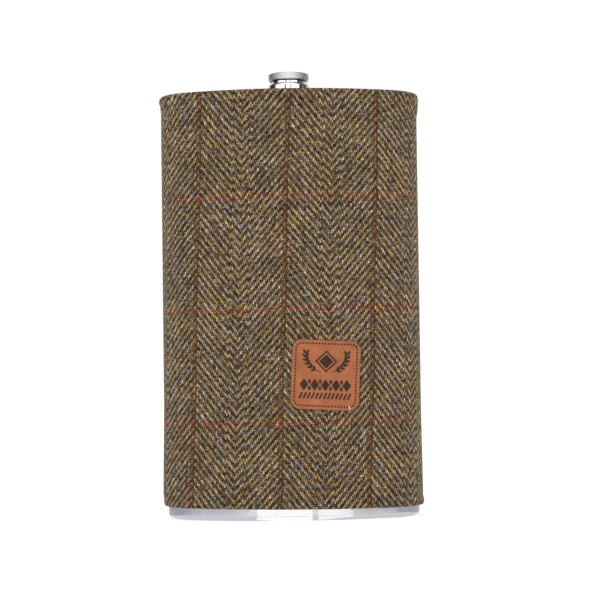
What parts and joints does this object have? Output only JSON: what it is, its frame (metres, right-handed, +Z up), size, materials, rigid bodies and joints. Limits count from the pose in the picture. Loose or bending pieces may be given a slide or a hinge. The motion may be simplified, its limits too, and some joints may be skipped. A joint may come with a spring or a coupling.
{
  "type": "hip flask",
  "caption": "Large curved steel hip flask in a tweed wrap with a sewn leather patch; its knurled cap unscrews from a threaded neck.",
  "frame": {"origin": "middle of the flat base face that the flask stands on", "axes": "+Z up along the neck's direction, -Y out of the rounded front that carries the patch, +X to the right of a viewer who faces the front"},
  "size_m": [0.1572, 0.0661, 0.2679],
  "materials": {
    "satin_steel": "satin brushed",
    "polished_steel": "polished",
    "knurled_steel": "knurled, satin",
    "tweed": "herringbone wool tweed",
    "backing": "felted board",
    "leather": "smooth tan, burned ornament",
    "thread": "twisted thread",
    "seal_rubber": "matte silicone"
  },
  "bodies": {
    "flask": {"body_shell": "satin_steel", "base_plate": "satin_steel", "shoulder_plate": "satin_steel", "neck_collar": "polished_steel", "neck_spout": "polished_steel", "wrap_backing": "backing", "tweed_wrap": "tweed", "seam_thread": "thread", "leather_patch": "leather", "patch_thread": "thread"},
    "seal": {"cap_seal": "seal_rubber"},
    "cap": {"cap_shell": "knurled_steel", "cap_insert": "polished_steel"}
  },
  "joints": [
    {"name": "cap_lift", "type": "slide", "parent": "flask", "child": "seal", "axis": [0, 0, 1], "range_m": [0, 0.01125]},
    {"name": "cap_turn", "type": "hinge", "parent": "seal", "child": "cap", "pos_m": [0, -0.00248, 0.265], "axis": [0, 0, 1], "range_deg": [0, 1620]}
  ],
  "couplings": [
    {"joint": "cap_lift", "follows": "cap_turn", "m_per_rad": 0.00039789}
  ]
}
